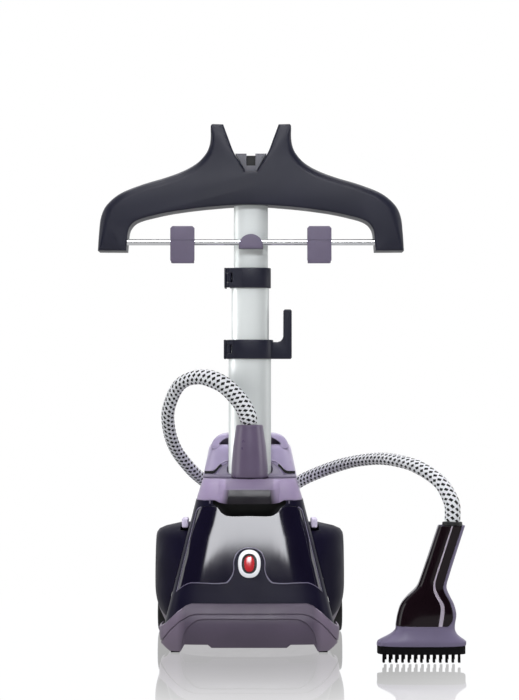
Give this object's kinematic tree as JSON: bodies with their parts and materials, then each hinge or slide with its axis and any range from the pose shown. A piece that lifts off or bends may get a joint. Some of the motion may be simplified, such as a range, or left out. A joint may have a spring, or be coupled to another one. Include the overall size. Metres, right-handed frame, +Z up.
{
  "type": "garment steamer",
  "caption": "Upright garment steamer with a wheeled base, water tank, telescopic pole with clamps, hanger with clip rod, braided hose and brush handset.",
  "frame": {"origin": "middle of the footprint, on the floor", "axes": "+Z up, +X to the right seen from the front, the front panel faces -Y"},
  "size_m": [0.4915, 0.41, 0.724],
  "materials": {
    "slate": "satin",
    "gloss_dark": "high gloss",
    "lavender": "satin gloss",
    "mauve": "satin",
    "deck_grey": "satin",
    "aluminium": "brushed",
    "chrome": "polished",
    "steel": "plain",
    "cast": "cast",
    "brass": "plain",
    "black": "matt",
    "rubber": "matt",
    "white": "gloss",
    "red": "clear gloss",
    "grey": "matt",
    "braid": "woven braid with a dark fleck"
  },
  "bodies": {
    "base": {"base_tray": "mauve", "tray_screw_left": "steel", "tray_screw_right": "steel", "rear_housing": "slate", "front_surround": "slate", "front_panel": "gloss_dark", "switch_ring": "white", "switch_body": "black", "front_bumper": "mauve", "foot_pad_left": "rubber", "foot_pad_right": "rubber", "front_cowl": "lavender", "pole_deck": "deck_grey", "hose_cuff": "lavender", "cuff_seal": "black", "body_clip_left": "lavender", "body_clip_right": "lavender", "rear_axle": "steel", "boiler": "cast", "boiler_lid": "cast", "thermostat": "brass", "steam_pipe": "steel", "tank_seat": "black", "water_tube": "white", "pole_socket": "black", "cord_gland": "black", "lower_tube": "aluminium", "hook_clamp": "slate", "lower_lever_pin": "steel", "steam_hose": "braid"},
    "middle_section": {"middle_tube": "aluminium", "middle_tube_bush": "black", "upper_clamp": "slate", "upper_lever_pin": "steel"},
    "upper_section": {"upper_tube": "aluminium", "hanger_front": "slate", "hanger_rear": "slate", "cradle_insert": "grey", "trouser_rod": "chrome", "rod_centre_clip": "mauve"},
    "lower_lever": {"lower_clamp_lever": "slate"},
    "upper_lever": {"upper_clamp_lever": "slate"},
    "left_clip": {"clip_back_left": "mauve"},
    "left_jaw": {"clip_jaw_left": "mauve"},
    "right_clip": {"clip_back_right": "mauve"},
    "right_jaw": {"clip_jaw_right": "mauve"},
    "button": {"power_button": "red"},
    "tank": {"water_tank": "lavender", "tank_cap": "black", "tank_valve": "white", "valve_spring": "steel"},
    "left_wheel": {"wheel_left": "black"},
    "right_wheel": {"wheel_right": "black"},
    "handset": {"handset_cover": "gloss_dark", "handset_shell": "lavender", "steam_plate": "cast", "hose_ferrule": "black"},
    "brush": {"brush_frame": "black", "bristles_front": "black", "bristles_rear": "black"}
  },
  "joints": [
    {"name": "middle_section_slide", "type": "slide", "parent": "base", "child": "middle_section", "axis": [0, 0, 1], "range_m": [0, 0.29]},
    {"name": "upper_section_slide", "type": "slide", "parent": "middle_section", "child": "upper_section", "axis": [0, 0, 1], "range_m": [0, 0.36]},
    {"name": "lower_lever_hinge", "type": "hinge", "parent": "base", "child": "lower_lever", "pos_m": [-0.062, 0.0295, 0.4085], "axis": [0, 0, 1], "range_deg": [0, 100]},
    {"name": "upper_lever_hinge", "type": "hinge", "parent": "middle_section", "child": "upper_lever", "pos_m": [-0.0613, 0.0295, 0.5085], "axis": [0, 0, 1], "range_deg": [0, 100]},
    {"name": "left_clip_slide", "type": "slide", "parent": "upper_section", "child": "left_clip", "axis": [1, 0, 0], "range_m": [-0.05, 0.05]},
    {"name": "right_clip_slide", "type": "slide", "parent": "upper_section", "child": "right_clip", "axis": [1, 0, 0], "range_m": [-0.05, 0.05]},
    {"name": "left_jaw_hinge", "type": "hinge", "parent": "left_clip", "child": "left_jaw", "pos_m": [-0.1268, 0.0271, 0.558], "axis": [-1, 0, 0], "range_deg": [0, 20], "stiffness_Nm_per_rad": 0.05, "springref_deg": -17.19},
    {"name": "right_jaw_hinge", "type": "hinge", "parent": "right_clip", "child": "right_jaw", "pos_m": [0.0652, 0.0271, 0.558], "axis": [-1, 0, 0], "range_deg": [0, 20], "stiffness_Nm_per_rad": 0.05, "springref_deg": -17.19},
    {"name": "power_button_press", "type": "slide", "parent": "base", "child": "button", "axis": [0, 0.9545, -0.2983], "range_m": [0, 0.003], "stiffness_N_per_m": 400, "springref_m": -0.002},
    {"name": "tank_lift", "type": "slide", "parent": "base", "child": "tank", "axis": [0, 0, 1], "range_m": [0, 0.2]},
    {"name": "left_wheel_spin", "type": "hinge", "parent": "base", "child": "left_wheel", "pos_m": [-0.15715, 0.132, 0.028], "axis": [1, 0, 0], "continuous": true},
    {"name": "right_wheel_spin", "type": "hinge", "parent": "base", "child": "right_wheel", "pos_m": [0.09235, 0.132, 0.028], "axis": [1, 0, 0], "continuous": true},
    {"name": "handset_lift", "type": "slide", "parent": "base", "child": "handset", "axis": [0, 0, 1], "range_m": [0, 0.12], "deforming": ["steam_hose"]},
    {"name": "brush_removal", "type": "slide", "parent": "handset", "child": "brush", "axis": [0, -1, 0], "range_m": [0, 0.05]}
  ]
}
